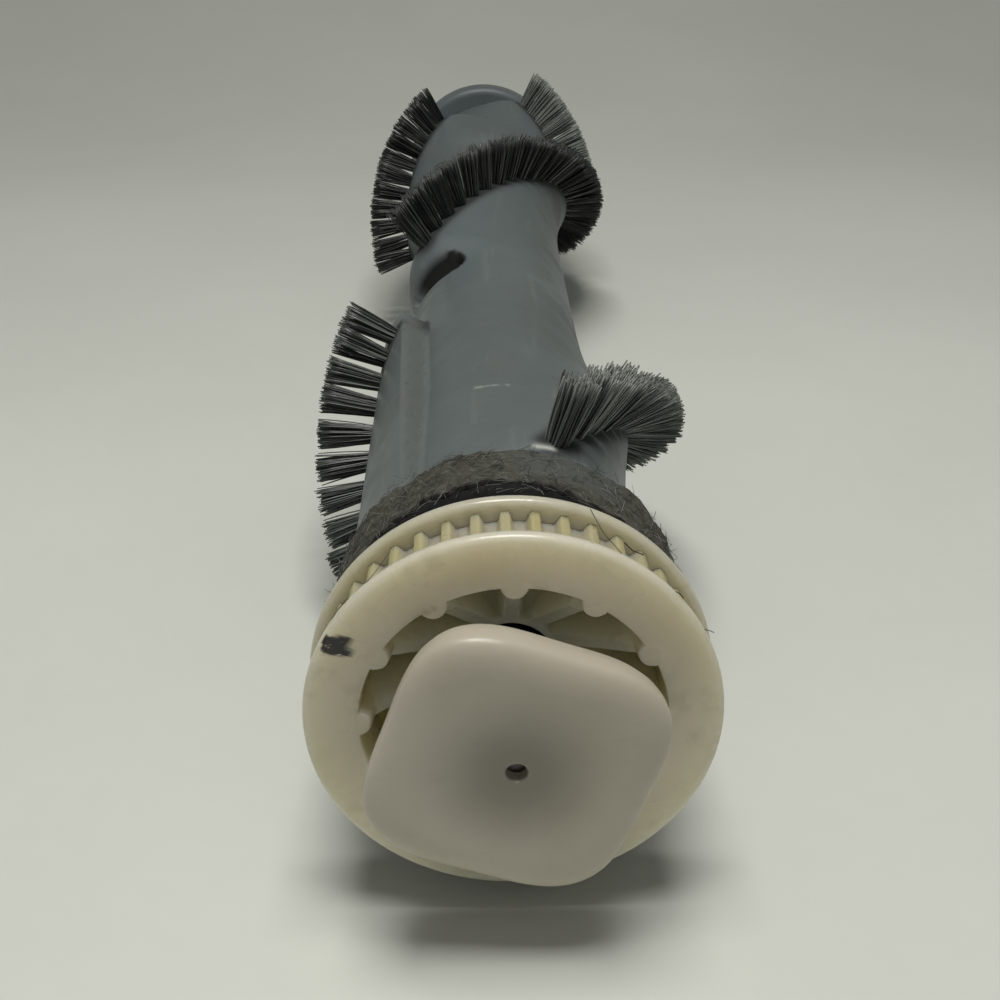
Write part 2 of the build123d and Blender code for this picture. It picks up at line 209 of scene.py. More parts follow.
class Shader:
    """A material's node tree with short ways to add the nodes used here."""

    def __init__(self, name):
        self.mat = bpy.data.materials.new(name)
        self.mat.use_nodes = True
        self.tree = self.mat.node_tree
        self.bsdf = self.tree.nodes["Principled BSDF"]

    def put(self, socket, value):
        if isinstance(value, bpy.types.NodeSocket):
            self.tree.links.new(value, socket)
        elif socket.type == "RGBA":
            socket.default_value = (*value, 1.0)
        else:
            socket.default_value = value

    def set(self, **values):
        for key, value in values.items():
            self.put(self.bsdf.inputs[key.replace("_", " ")], value)

    def mark(self, name):
        node = self.tree.nodes.new("ShaderNodeAttribute")
        node.attribute_name = name
        return node.outputs["Fac"]

    def coords(self):
        return self.tree.nodes.new("ShaderNodeTexCoord").outputs["Object"]

    def noise(self, scale, detail=3.0, rough=0.55, stretch=None):
        """Noise from 0 to 1 with cells of about 1/scale metres."""
        node = self.tree.nodes.new("ShaderNodeTexNoise")
        node.inputs["Scale"].default_value = scale
        node.inputs["Detail"].default_value = detail
        node.inputs["Roughness"].default_value = rough
        source = self.coords()
        if stretch:
            mapping = self.tree.nodes.new("ShaderNodeMapping")
            mapping.inputs["Scale"].default_value = stretch
            self.tree.links.new(source, mapping.inputs["Vector"])
            source = mapping.outputs["Vector"]
        self.tree.links.new(source, node.inputs["Vector"])
        return node.outputs["Fac"]

    def span(self, value, low, high, out_low=0.0, out_high=1.0):
        node = self.tree.nodes.new("ShaderNodeMapRange")
        node.interpolation_type = "SMOOTHSTEP"
        self.put(node.inputs["Value"], value)
        keys = ("From Min", "From Max", "To Min", "To Max")
        for key, number in zip(keys, (low, high, out_low, out_high)):
            node.inputs[key].default_value = number
        return node.outputs["Result"]

    def math(self, operation, a, b):
        node = self.tree.nodes.new("ShaderNodeMath")
        node.operation = operation
        self.put(node.inputs[0], a)
        self.put(node.inputs[1], b)
        return node.outputs[0]

    def mix(self, share, a, b):
        node = self.tree.nodes.new("ShaderNodeMix")
        node.data_type = "RGBA"
        factor, first, second = node.inputs[0], node.inputs[6], node.inputs[7]
        self.put(factor, share)
        self.put(first, a)
        self.put(second, b)
        return node.outputs[2]

    def bump(self, height, distance, strength, under=None):
        node = self.tree.nodes.new("ShaderNodeBump")
        node.inputs["Distance"].default_value = distance
        node.inputs["Strength"].default_value = strength
        self.put(node.inputs["Height"], height)
        if under is not None:
            self.put(node.inputs["Normal"], under)
        return node.outputs["Normal"]


def linear(r, g, b):
    """Linear colour from 0-255 display values."""
    out = []
    for v in (r, g, b):
        v = v / 255.0
        out.append(v / 12.92 if v <= 0.04045 else ((v + 0.055) / 1.055) ** 2.4)
    return tuple(out)


def pulley_material():
    s = Shader("pulley_nylon")
    broad = s.noise(60.0, 4.0)
    fine = s.noise(700.0, 3.0)
    speck = s.noise(1500.0, 2.0, 0.7)
    color = s.mix(s.span(broad, 0.35, 0.7), linear(208, 201, 181), linear(200, 193, 169))
    # painted light: the pockets made lighter, standing in for light that comes through the thin nylon
    # walls
    color = s.mix(s.mark("painted_pocket_light"), color, linear(240, 234, 206))
    # painted shade: the toothed track between the flanges made darker, as the flanges shade it
    color = s.mix(s.mark("painted_track_shade"), color, linear(168, 163, 143))
    color = s.mix(s.math("MULTIPLY", s.mark("yellow"), 0.9), color, linear(162, 152, 102))
    dirty = s.math("MULTIPLY", s.mark("grime"), s.span(fine, 0.2, 0.6, 0.75, 1.0))
    color = s.mix(dirty, color, linear(150, 142, 104))
    specks = s.math("MULTIPLY", s.span(speck, 0.68, 0.73), s.span(s.mark("grime"), 0.0, 0.3))
    color = s.mix(specks, color, linear(58, 52, 38))
    smear = s.math("MULTIPLY", s.mark("smear"), s.span(fine, 0.35, 0.65))
    color = s.mix(smear, color, linear(120, 112, 92))
    # painted shade: near black in the hub's bore, on the neck and web behind the track, and on the back
    # of the rear flange
    color = s.mix(s.mark("painted_recess_shade"), color, linear(24, 22, 19))
    scratch = s.noise(1100.0, 2.0, 0.6, (1.0, 1.0, 4.0))
    ink = s.math("MULTIPLY", s.mark("ink"), s.span(scratch, 0.30, 0.37))
    color = s.mix(ink, color, (0.012, 0.012, 0.013))
    dull = s.math("MULTIPLY", s.mark("grime"), 0.4)
    grain = s.math("ADD", fine, s.math("MULTIPLY", s.mark("grime"), speck))
    s.set(
        Base_Color=color,
        Roughness=s.math("ADD", s.span(broad, 0.3, 0.7, 0.22, 0.32), dull),
        Subsurface_Weight=0.8,
        Subsurface_Radius=(0.007, 0.0062, 0.0044),
        Subsurface_Scale=1.0,
        IOR=1.5,
        Normal=s.bump(grain, 0.00012, 0.35),
    )
    return s.mat


def block_material():
    s = Shader("block_nylon")
    broad = s.noise(45.0, 4.0)
    fine = s.noise(900.0, 3.0)
    rub = s.noise(260.0, 4.0, 0.6, (1.0, 1.0, 2.5))
    color = s.mix(s.span(broad, 0.35, 0.68), linear(186, 180, 165), linear(178, 171, 154))
    color = s.mix(s.span(rub, 0.56, 0.8, 0.0, 0.4), color, linear(170, 160, 142))
    # painted shade: the face darker round the vent, where the hollow behind it shows through the nylon
    color = s.mix(s.mark("core"), color, linear(100, 96, 85))
    s.set(
        Base_Color=color,
        Roughness=s.span(rub, 0.3, 0.7, 0.30, 0.42),
        Subsurface_Weight=0.3,
        Subsurface_Radius=(0.005, 0.0036, 0.0024),
        Subsurface_Scale=0.6,
        IOR=1.5,
        Normal=s.bump(fine, 0.00008, 0.25),
    )
    return s.mat


def body_material():
    s = Shader("body_plastic")
    broad = s.noise(35.0, 4.0)
    fine = s.noise(1600.0, 3.0)
    lint = s.noise(900.0, 5.0, 0.7)
    streak = s.noise(420.0, 3.0, 0.6, (1.0, 0.08, 1.0))
    color = s.mix(s.span(broad, 0.3, 0.7), linear(94, 103, 103), linear(86, 94, 94))
    color = s.mix(s.span(streak, 0.58, 0.72, 0.0, 0.35), color, linear(112, 119, 117))
    # dust film, and a painted highlight along the pad's sloping edge
    film = s.math("MULTIPLY", s.mark("dust_and_painted_sheen"), s.span(lint, 0.3, 0.6, 0.55, 1.0))
    color = s.mix(film, color, linear(92, 91, 81))
    dark = s.math("MULTIPLY", s.mark("dust_and_painted_sheen"), s.span(lint, 0.42, 0.34))
    color = s.mix(dark, color, linear(40, 39, 34))
    # painted shade: the slot, the gap under the crust's torn lip, the pad's far end, a crevice behind
    # the collar and the tuft roots
    color = s.mix(s.mark("shade"), color, linear(14, 15, 14))
    # scratches, and a painted highlight: the white sliver in front of the first right front tuft
    color = s.mix(s.mark("scuff_and_painted_glint"), color, linear(176, 178, 170))
    dull = s.math("MAXIMUM", s.mark("dust_and_painted_sheen"), s.mark("shade"))
    felt = s.math("MULTIPLY", lint, s.mark("dust_and_painted_sheen"))
    s.set(
        Base_Color=color,
        Roughness=s.math("ADD", s.span(broad, 0.3, 0.7, 0.36, 0.46), dull),
        Normal=s.bump(felt, 0.0006, 0.8, s.bump(fine, 0.00006, 0.3)),
    )
    return s.mat


def plain_grey_material():
    s = Shader("cap_plastic")
    broad = s.noise(60.0, 4.0)
    color = s.mix(s.span(broad, 0.3, 0.7), linear(96, 104, 105), linear(84, 92, 93))
    s.set(
        Base_Color=color,
        Roughness=s.span(broad, 0.3, 0.7, 0.38, 0.5),
        Normal=s.bump(s.noise(1500.0), 0.00006, 0.3),
    )
    return s.mat


def bristle_material():
    s = Shader("bristle")
    along = s.noise(300.0, 3.0)
    # tone: each bristle's own random tone, on top of its row's painted light level
    color = s.mix(s.mark("tone"), linear(26, 29, 28), linear(132, 136, 129))
    color = s.mix(s.span(along, 0.5, 0.8, 0.0, 0.4), color, linear(96, 98, 90))
    s.set(Base_Color=color, Roughness=0.38, IOR=1.53)
    return s.mat


def lint_material():
    s = Shader("lint")
    mottled = s.noise(900.0, 5.0, 0.7)
    color = s.mix(s.span(mottled, 0.3, 0.68), linear(50, 49, 42), linear(84, 83, 73))
    color = s.mix(s.span(s.noise(2400.0, 2.0), 0.64, 0.73, 0.0, 0.7), color, linear(136, 130, 112))
    color = s.mix(s.mark("bare"), color, linear(80, 83, 78))
    # painted shade at the crust's turned-in lip and in its hollows
    color = s.mix(s.mark("painted_crust_shade"), color, linear(26, 25, 21))
    s.set(Base_Color=color, Roughness=0.95, Normal=s.bump(s.noise(2600.0, 4.0, 0.7), 0.0004, 0.8))
    return s.mat


def hair_material(name, color):
    s = Shader(name)
    darker = tuple(v * 0.6 for v in color)
    s.set(Base_Color=s.mix(s.noise(500.0), color, darker), Roughness=0.45)
    return s.mat


def metal_material(name, color, rough):
    s = Shader(name)
    grain = s.noise(900.0, 3.0, 0.6, (1.0, 0.1, 1.0))
    s.set(
        Base_Color=s.mix(s.span(grain, 0.3, 0.7), color, tuple(v * 0.8 for v in color)),
        Metallic=1.0,
        Roughness=s.span(grain, 0.3, 0.7, rough, rough + 0.12),
    )
    return s.mat


pulley_mat = pulley_material()
block_mat = block_material()
body_mat = body_material()
cap_mat = plain_grey_material()
bristle_mat = bristle_material()
lint_mat = lint_material()
axle_mat = metal_material("axle_steel", (0.55, 0.55, 0.54), 0.3)
bearing_mat = metal_material("bearing_steel", (0.72, 0.72, 0.73), 0.15)
cage_mat = metal_material("cage_brass", (0.72, 0.52, 0.22), 0.3)

def dress_cad_nodes():
    """Materials for the CAD nodes that are shown as they are."""
    for name, node in frame["nodes"].items():
        if name == "far_end_cap":
            mat = cap_mat
        elif name == "axle" or name.endswith("clip"):
            mat = axle_mat
        elif name.endswith("cage"):
            mat = cage_mat
        elif "bearing" in name:
            mat = bearing_mat
        else:
            continue
        node.data.materials.clear()
        node.data.materials.append(mat)


def pulley():
    """The pulley as one closed skin: hub, pockets, flange, toothed rim, spigot and web."""
    cols = 672
    angle = np.arange(cols) * 360.0 / cols
    # rings of the face, close together at the hub's edge and at the pockets' outer ends
    radii = np.concatenate(
        [
            np.linspace(HUB_MOUTH_R, 5.5, 4, endpoint=False),
            np.linspace(5.5, 6.3, 6, endpoint=False),
            np.linspace(6.3, 14.6, 24, endpoint=False),
            np.linspace(14.6, 17.0, 32, endpoint=False),
            np.linspace(17.0, FLANGE_R - FLANGE_EDGE, 7),
        ]
    )
    r, a = np.meshgrid(radii, angle, indexing="ij")
    off = np.radians(from_nearest(a, RIB_ANGLE, RIB_STEP))
    across = r * np.sin(off)
    lobe = np.hypot(r * np.cos(off) - LOBE_PLACE_R, across) - LOBE_R
    inside = ramp(np.minimum(CAVITY_R - r, lobe), -0.12, 0.42)
    rib_top = 1.2  # depth of a rib at the cavity's rim, from where it falls to the hub's face
    rib = rib_top + (CAVITY_R - r) / (CAVITY_R - HUB_R) * (HUB_FACE - rib_top)
    floor = rib + (WEB_FRONT - rib) * ramp(across - RIB_HALF, -0.2, 0.45)
    floor = np.where(r < HUB_R, HUB_FACE, floor)
    rows = list(zip(r, inside * floor))

    def ring(radius, depth):
        return np.full(cols, radius), np.full(cols, depth)

    bore = [ring(HUB_BORE_R, WEB_REAR), ring(HUB_BORE_R, 13.5), ring(HUB_MOUTH_R - 0.1, 12.5)]
    rows = bore + rows
    for t in np.arange(1, 9) / 8 * math.pi / 2:
        rows.append(ring(FLANGE_R - FLANGE_EDGE * (1 - math.sin(t)), FLANGE_EDGE * (1 - math.cos(t))))
    rows += [ring(FLANGE_R, 1.0), ring(22.4, 1.4), ring(22.1, 1.65), ring(21.7, FLANGE_BACK)]
    face_rows = len(rows)
    tooth_off = np.radians(from_nearest(angle, TOOTH_ANGLE, 360.0 / TEETH))
    tooth = ramp(RIM_R * tooth_off, 0.85, 0.4)
    for yp in (FLANGE_BACK, 2.0, 2.6, 3.4, 4.2, 5.0, 5.8, 6.6, 7.2, 7.6, TRACK_END):
        rows.append((RIM_R + (TIP_R - RIM_R) * tooth, np.full(cols, yp)))
    track_rows = len(rows)
    for yp in (TRACK_END + 0.05, PULLEY_REAR, 12.0, COLLAR_FRONT, 18.0, SPIGOT_END):
        rows.append(ring(SPIGOT_R, yp))
    inner = SPIGOT_R - 2.38
    rows += [ring(inner, SPIGOT_END), ring(inner, WEB_REAR), ring(HUB_BORE_R, WEB_REAR)]
    rr = np.array([row[0] for row in rows])
    dd = np.array([row[1] for row in rows])
    points = polar(rr, angle[None, :], dd).reshape(-1, 3)
    row_index = np.repeat(np.arange(len(rows)), cols)
    on_face = row_index < face_rows
    on_track = (row_index >= face_rows) & (row_index < track_rows)
    r_flat, d_flat = rr.ravel(), dd.ravel()
    x, z = points[:, 0], points[:, 2]
    blotch = cloudy(points, 2.6, 3)
    # pocket: the face's pockets, which gather dirt and are also painted lighter as light through the
    # nylon
    pocket = on_face * ramp(d_flat, 0.5, 3.5) * (r_flat < CAVITY_R + 0.6)
    rib_off = np.radians(from_nearest(np.degrees(np.arctan2(z, x)), RIB_ANGLE, RIB_STEP))
    in_floor = ramp(r_flat * np.sin(rib_off), 0.9, 1.6) * ramp(r_flat, HUB_R + 0.2, HUB_R + 1.2)
    grime = pocket * in_floor * (0.25 + 0.5 * ramp(blotch, 0.42, 0.75)) * ramp(r_flat, 8.0, 15.0)
    on_tooth = on_track * np.tile(tooth, len(rows))
    grime = grime + on_track * 0.15 * ramp(blotch, 0.5, 0.8) * (1 - on_tooth)
    yellow = on_tooth * np.clip(0.6 + 0.7 * (blotch - 0.4), 0, 1)
    edge = ramp(np.abs(r_flat - CAVITY_R), 0.9, 0.0) * ramp(blotch, 0.5, 0.75) * (d_flat < 1.5) * 0.5
    smear = 0.22 * ramp(cloudy(points, 5.0, 5), 0.52, 0.8) + on_face * edge
    ragged = 0.5 * (cloudy(points, 0.8, 11) - 0.5)
    ink_x, ink_z, ink_wide, ink_high = -18.4, 10.0, 1.45, 1.3
    from_ink = np.maximum(np.abs(x - ink_x) / ink_wide, np.abs(z - ink_z) / ink_high)
    ink = ramp(1.0 - from_ink + ragged, 0.0, 0.15) * on_face * (d_flat < 0.3)
    # painted shade in the bore and, from the track on, over the neck and web
    in_bore = on_face * ramp(d_flat, HUB_FACE + 0.05, HUB_FACE + 0.5) * (r_flat < HUB_MOUTH_R)
    painted_recess_shade = 0.95 * (row_index > track_rows) + in_bore
    piece(
        "pulley_shell",
        points,
        wrap_faces(len(rows), cols),
        pulley_mat,
        "roller",
        ["drive_pulley"],
        {
            "grime": np.clip(grime, 0, 1),
            "yellow": yellow,
            "ink": ink,
            "smear": smear,
            "painted_recess_shade": painted_recess_shade,
            "painted_pocket_light": pocket,
            "painted_track_shade": 1.0 * on_track,
        },
    )


def rear_flange():
    """The pulley's rear flange, a ring with rounded rims."""
    cols = 360
    angle = np.arange(cols) * 360.0 / cols
    inner = SPIGOT_R + 0.02
    turns = np.linspace(0, math.pi / 2, 7)
    edge = [(FLANGE_EDGE * (1 - math.sin(t)), FLANGE_EDGE * (1 - math.cos(t))) for t in turns]
    section = [(inner, TRACK_END)]
    section += [(FLANGE_R - down, TRACK_END + along) for down, along in edge]
    section += [(FLANGE_R - down, PULLEY_REAR - along) for along, down in edge]
    section += [(inner, PULLEY_REAR), (inner, TRACK_END)]
    rr = np.array([[r] * cols for r, _ in section])
    yy = np.array([[y] * cols for _, y in section])
    points = polar(rr, angle[None, :], yy).reshape(-1, 3)
    blotch = cloudy(points, 3.5, 41)
    back = ramp(yy.ravel(), 9.3, PULLEY_REAR) * ramp(rr.ravel(), FLANGE_R - 0.1, FLANGE_R - 0.8)
    marks = {
        "grime": 0.7 * back,
        "yellow": np.full(len(points), 0.12),
        "smear": 0.25 * ramp(blotch, 0.5, 0.8) + 0.4 * back,
        # painted shade on the back of the rim, beside the neck, besides its dirt
        "painted_recess_shade": 0.5 * back,
        # painted shade: some of the track's, over the whole rear flange
        "painted_track_shade": np.full(len(points), 0.35),
    }
    piece(
        "pulley_rear_ring",
        points,
        wrap_faces(len(section), cols),
        pulley_mat,
        "roller",
        ["pulley_rear_flange"],
        marks,
    )


def end_block(end, turn, place, hand):
    """Bearing block: a soft rounded square with a dished face, a vent and a pocket behind.

    The block's own yp is multiplied by hand and counted from place, so the far one is mirrored.
    """
    cols = 192
    u = np.arange(cols) * 2 * math.pi / cols
    back, front, half = -0.65, -9.25, 14.3
    back_in, back_run = 5.7, 6.5  # the rounding's reach inwards and along yp, at the back
    face_in, face_run = 3.6, 1.8  # and at the face
    vent_r, seat_r, clip_r = 1.1, 7.04, 4.98
    seat_floor, clip_floor = -5.3, -7.03
    rows = []

    def ring(size, yp, power=3.5, waist=0.0):
        r = size / (np.abs(np.cos(u)) ** power + np.abs(np.sin(u)) ** power) ** (1.0 / power)
        rows.append((r * (1 - waist * np.cos(2 * u) ** 4), np.full(cols, yp)))

    pocket = ((vent_r, clip_floor), (clip_r, clip_floor), (clip_r, seat_floor), (seat_r, seat_floor))
    for r, yp in pocket + ((seat_r, back),):
        ring(r, yp, 2.0)
    ring(8.2, back, 2.8)
    for t in np.linspace(0, math.pi / 2, 10):
        ring(half - back_in * (1 - math.sin(t)), back - back_run * (1 - math.cos(t)), waist=0.01)
    for t in np.linspace(0, math.pi / 2, 15):
        ring(half - face_in * (1 - math.cos(t)), front + face_run * (1 - math.sin(t)), waist=0.012)
    # the dished face, whose rings go from square to round towards the vent
    face_half, dish = half - face_in, 0.6
    sizes = (9.8, 8.9, 8.0, 7.0, 6.0, 5.0, 3.8, 2.6, 1.7, 1.35)
    powers = (3.4, 3.2, 3.0, 2.8, 2.6, 2.4, 2.2, 2.1, 2.0, 2.0)
    for size, power in zip(sizes, powers):
        ring(size, front + dish * (1 - (size / face_half) ** 2), power, 0.012)
    for r, yp in ((vent_r + 0.08, -8.55), (vent_r, -8.4), (vent_r, clip_floor)):
        ring(r, yp, 2.0)
    rr = np.array([row[0] for row in rows])
    yy = np.array([row[1] for row in rows])
    points = polar(rr, np.degrees(u)[None, :] + turn, place + hand * yy).reshape(-1, 3)
    # painted shade at the face's middle, over the pocket behind it
    core = 0.7 * ramp(rr.ravel(), 11.5, 1.5) * ramp(yy.ravel(), -7.5, -8.4)
    piece(
        end + "_block_shell",
        points,
        wrap_faces(len(rows), cols)[:, ::hand],
        block_mat,
        end + "_block",
        [end + "_end_block"],
        {"core": core},
    )


class Row(NamedTuple):
    """A helical row of tufts."""

    first: float  # yp of its first tuft
    count: int
    angle: float  # of its first tuft
    hand: int  # which way it winds
    bristles: int  # in each tuft
    shade: float  # painted light on the row's bristles, from 0 dark to 1 lit grey


ROWS = {
    "left_front_tufts": Row(29.85, 15, 252.0, -1, 105, 0.32),
    "right_front_tufts": Row(31.48, 25, 71.6, -1, 105, 0.6),
    "right_rear_tufts": Row(130.12, 29, 130.0, -1, 85, -0.15),
    "left_rear_tufts": Row(195.46, 11, 200.0, -1, 85, -0.1),
    "right_end_tufts": Row(226.28, 8, 5.0, 1, 85, 0.9),
}


def tuft_places(row):
    """The yp and angle of each tuft in a row."""
    steps = [i * TUFT_STEP for i in range(row.count)]
    return [(row.first + step, row.angle + row.hand * PITCH_DEG * step) for step in steps]


def pad_inset(angle, yp):
    """How far a point lies inside the edge of the pad round the left front row."""
    near = PAD_NEAR + PAD_SLANT * (yp - 25.0)
    low = ((angle - near) % 360.0) * math.pi / 180 * LAND_R
    reach = 86.0  # a point further round than this lies before the near side, not past it
    low = np.where(low > reach, low - 2 * math.pi * LAND_R, low)
    high = arc(PAD_FAR - angle, LAND_R)
    from_side = np.maximum(PAD_CORNER_R - np.minimum(low, high), 0)
    from_end = np.maximum(PAD_CORNER_R - (PAD_END - yp), 0)
    return PAD_CORNER_R - np.hypot(from_side, from_end)


def row_offset(row, angle, yp):
    """How far a point lies from a tuft row: round the roller, and along it past the row's ends."""
    along = np.clip(yp, row.first, row.first + (row.count - 1) * TUFT_STEP)
    middle = row.angle + row.hand * PITCH_DEG * (along - row.first)
    return arc(angle - middle, LAND_R), yp - along


def land_height(angle, yp):
    """How far the pad and the lands stand up, 0 on the core to 1 at the land radius."""
    height = ramp(pad_inset(angle, yp), -0.5, 0.9)
    for row in list(ROWS.values())[1:]:  # the first row stands on the pad
        across, past = row_offset(row, angle, yp)
        land = np.exp(-((across / LAND_SPREAD) ** 2) - (past / LAND_RUNOUT) ** 2)
        height = np.maximum(height, land)
    return height


def root_shade(angle, yp):
    """Painted shade along the roots of each tuft row, from 0 to 1."""
    dirt = np.zeros(np.broadcast(angle, yp).shape)
    for row in ROWS.values():
        dirt = np.maximum(dirt, ramp(np.hypot(*row_offset(row, angle, yp)), 4.2, 1.6))
    return dirt


def roller_body():
    """The grey body as a radius over angle and length, in a near and a far piece."""
    cols = 360
    angle = np.arange(cols) * 360.0 / cols
    shoulder, edge_r = 18.6, 1.6
    turns = np.linspace(0, math.pi / 2, 6)
    edge = [(edge_r * (1 - math.cos(t)), shoulder + edge_r * math.sin(t)) for t in turns]
    collar = [(COLLAR_FRONT, SPIGOT_R + 0.14)]
    collar += [(COLLAR_FRONT + y, r) for y, r in edge]
    collar += [(y, COLLAR_R) for y in np.arange(16.6, 22.8, 0.4)]
    collar += [(COLLAR_REAR - y, r) for y, r in reversed(edge)]
    near_step, far_step = 0.55, 0.9
    seam = COLLAR_REAR + 169 * near_step
    spans = {
        "roller_body_near": (collar, np.arange(COLLAR_REAR, seam + near_step / 2, near_step)),
        "roller_body_far": ([], np.arange(seam, BODY_END + far_step / 2, far_step)),
    }
    for name, (first, rest) in spans.items():
        rest = np.minimum(rest, BODY_END)
        y1 = np.array([y for y, _ in first] + list(rest))
        is_collar = np.array([True] * len(first) + [False] * len(rest))
        yy, aa = np.meshgrid(y1, angle, indexing="ij")
        core = np.interp(yy, [COLLAR_REAR, SWELL_END], [CORE_R + CORE_SWELL, CORE_R])
        rr = core + (LAND_R - core) * land_height(aa, yy)
        if first:
            rr[: len(first)] = np.array([r for _, r in first])[:, None]
        slot_across = np.abs(arc(aa - SLOT_ANGLE, CORE_R))
        slot_off = np.hypot(np.maximum(slot_across - SLOT_HALF, 0), yy - SLOT_YP)
        cut = ramp(slot_off, 3.3, 2.6) * (~is_collar)[:, None]
        rr = rr + (CORE_R - SLOT_DEPTH - rr) * cut
        points = polar(rr, aa, yy).reshape(-1, 3)
        lump = cloudy(points, 2.2, 51, 4).reshape(rr.shape)
        spread = cloudy(points, 7.0, 61).reshape(rr.shape)
        foot = ramp(yy, 34.0, COLLAR_REAR) * ramp(spread, 0.4, 0.7) * 0.5
        film = 0.18 * ramp(spread, 0.45, 0.75)
        inset = pad_inset(aa, yy)
        # painted highlight: a lighter band on the pad's sloping edge, carried in the dust mark
        pad_edge_sheen = 0.3 * ramp(np.abs(inset - 0.25), 0.9, 0.3) * ramp(yy, 104.0, 92.0)
        crusted = 0.4 + 0.5 * (lump - 0.4)
        dust_and_painted_sheen = np.clip(np.where(is_collar[:, None], crusted, foot + film + pad_edge_sheen), 0, 1)
        # painted shade: the collar's front under the crust's torn lip, the slot, the pad's far end, the
        # crevice behind the collar and the tuft roots
        torn = is_collar[:, None] * ramp(yy, 19.5, 17.5)
        pad_end = 0.7 * ramp(np.abs(inset + 0.35), 0.7, 0.2) * ramp(yy, 90.0, 97.0)
        slot_shade = ramp(slot_off, 4.2, 3.4) * (~is_collar)[:, None] * ramp(aa, 163.0, 145.0)
        crevice = 0.9 * ramp(np.abs(yy - 27.2), 1.7, 0.9) * ramp(np.abs(aa - 70.0), 16.0, 11.0)
        shade = np.max([slot_shade, torn, pad_end, crevice, 0.85 * root_shade(aa, yy)], axis=0)
        # painted highlight: a white sliver in front of the first right front tuft
        sliver = ramp(np.abs(yy - 29.6), 0.6, 0.1) * ramp(np.abs(aa - 76.5), 5.5, 2.5)
        from_scratch = np.abs(yy - 57.0 - 0.03 * (aa - 95.0))
        scratch = ramp(from_scratch, 0.5, 0.1) * ramp(np.abs(aa - 95.0), 10.0, 8.0)
        scratch = scratch * ramp(cloudy(points, 1.0, 71).reshape(rr.shape), 0.3, 0.6) * 0.6
        piece(
            name,
            points,
            wrap_faces(len(y1), cols),
            body_mat,
            "roller",
            ["roller_body"] if first else (),
            {"dust_and_painted_sheen": dust_and_painted_sheen, "scuff_and_painted_glint": np.maximum(scratch, sliver), "shade": shade},
        )


def filaments(
    name, start, way, length, bend, radius, tone, nodes=(), steps=4, floor=True
):
    """Thin filaments from start points along way, bending sideways, as one mesh on the roller.

    With floor, those that would go through the table are pressed flat on it and splayed.
    """
    count = len(start)
    t = np.linspace(0, 1, steps + 1)
    centre = start[:, None, :] + way[:, None, :] * (length[:, None] * t)[:, :, None]
    centre = centre + bend[:, None, :] * (t**2)[None, :, None]
    if floor:
        low = np.maximum(-AXIS_Z / UNIT + radius + 0.02 - centre[:, :, 2], 0)
        centre[:, :, 2] += low
        centre[:, :, 0] += low * 0.55 * np.sign(centre[:, -1:, 0])
    side = np.cross(way, np.array([0.31, 0.9, 0.27]))
    side /= np.linalg.norm(side, axis=1)[:, None]
    other = np.cross(way, side)
    thin = radius * np.where(t < 0.99, 1.0, 0.7)
    rings = []
    for k in range(4):
        c, s = math.cos(k * math.pi / 2), math.sin(k * math.pi / 2)
        rings.append(centre + (side * c + other * s)[:, None, :] * thin[None, :, None])
    points = np.stack(rings, axis=2)
    one = wrap_faces(steps + 1, 4)
    one = np.vstack([one, [[4 * steps, 4 * steps + 1, 4 * steps + 2, 4 * steps + 3]]])
    quads = (one[None, :, :] + (np.arange(count) * 4 * (steps + 1))[:, None, None]).reshape(-1, 4)
    tones = np.repeat(tone, 4 * (steps + 1))
    points = points.reshape(-1, 3)
    piece(name, points, quads, bristle_mat, "roller", nodes, {"tone": tones})


def tufts():
    """Each tuft as its bundle of bristles, spreading from its hole to the trim."""
    for name, row in ROWS.items():
        count = row.bristles
        starts, ways, lengths, bends, tones = [], [], [], [], []
        for yp, angle in tuft_places(row):
            a = math.radians(angle)
            out = np.array([math.cos(a), 0, math.sin(a)])
            round_way = np.array([-math.sin(a), 0, math.cos(a)])
            axial = np.array([0.0, 1.0, 0.0])
            rho = np.sqrt(rng.random(count))
            phi = rng.random(count) * 2 * math.pi
            du, dv = rho * np.cos(phi), rho * np.sin(phi)
            lean_y, lean_a = rng.normal(0, 0.25), rng.normal(0, 0.35)
            root = out * (LAND_R - 0.4) + axial * yp
            start = root + TUFT_R * (du[:, None] * axial + dv[:, None] * round_way)
            wide = 0.75 + 0.2 * rng.random(count)
            tip_y = TUFT_R * du + wide * du * 0.95 + lean_y + rng.normal(0, 0.12, count)
            tip_a = TUFT_R * dv + wide * dv * 1.1 + lean_a + rng.normal(0, 0.18, count)
            tip = out * (TRIM_R + rng.normal(-0.15, 0.22, count))[:, None] + axial * yp
            tip = tip + tip_y[:, None] * axial + tip_a[:, None] * round_way
            bend_y = 0.3 * rng.normal(0, 1, count)
            bend_a = 0.4 * rng.normal(0, 1, count)
            bend = bend_y[:, None] * axial + bend_a[:, None] * round_way
            way = tip - bend - start
            length = np.linalg.norm(way, axis=1)
            starts.append(start)
            ways.append(way / length[:, None])
            lengths.append(length)
            bends.append(bend)
            # the row's painted light level, with a random tone for each bristle and each tuft
            tone = row.shade + rng.normal(0, 0.22, count) + rng.normal(0, 0.06)
            tones.append(np.clip(tone, 0, 1))
        filaments(
            name + "_bristles",
            np.vstack(starts),
            np.vstack(ways),
            np.concatenate(lengths),
            np.vstack(bends),
            BRISTLE_R,
            np.concatenate(tones),
            [name],
        )


